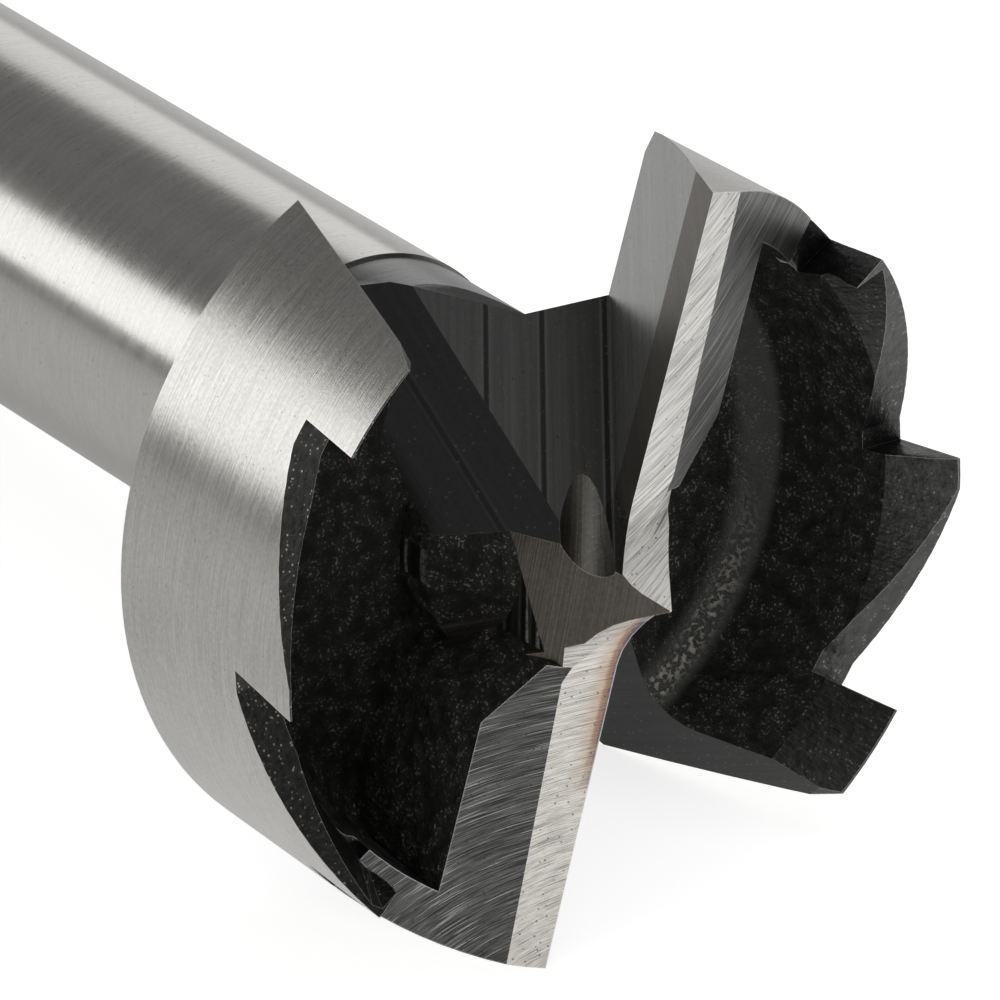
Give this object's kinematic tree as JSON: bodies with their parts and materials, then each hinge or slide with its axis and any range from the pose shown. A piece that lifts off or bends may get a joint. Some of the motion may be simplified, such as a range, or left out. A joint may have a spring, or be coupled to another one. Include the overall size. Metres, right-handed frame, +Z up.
{
  "type": "forstner bit",
  "caption": "Forstner bit with a round shank, a sawtooth rim, two ground cutting lips and a short four-sided centre point.",
  "frame": {"origin": "middle of the underside of the box round the bit as it lies on a table, so the table is z = 0", "axes": "+X toward the centre point, along the bit as it lies; +Z up; the bit's axis rises about 3 degrees toward +X because the head is wider than the shank"},
  "size_m": [0.09, 0.018, 0.017],
  "materials": {
    "steel": "ground steel with fine grinding lines, dark in the gullets and pockets"
  },
  "bodies": {
    "root": {"forstner_bit": "steel"}
  },
  "joints": []
}
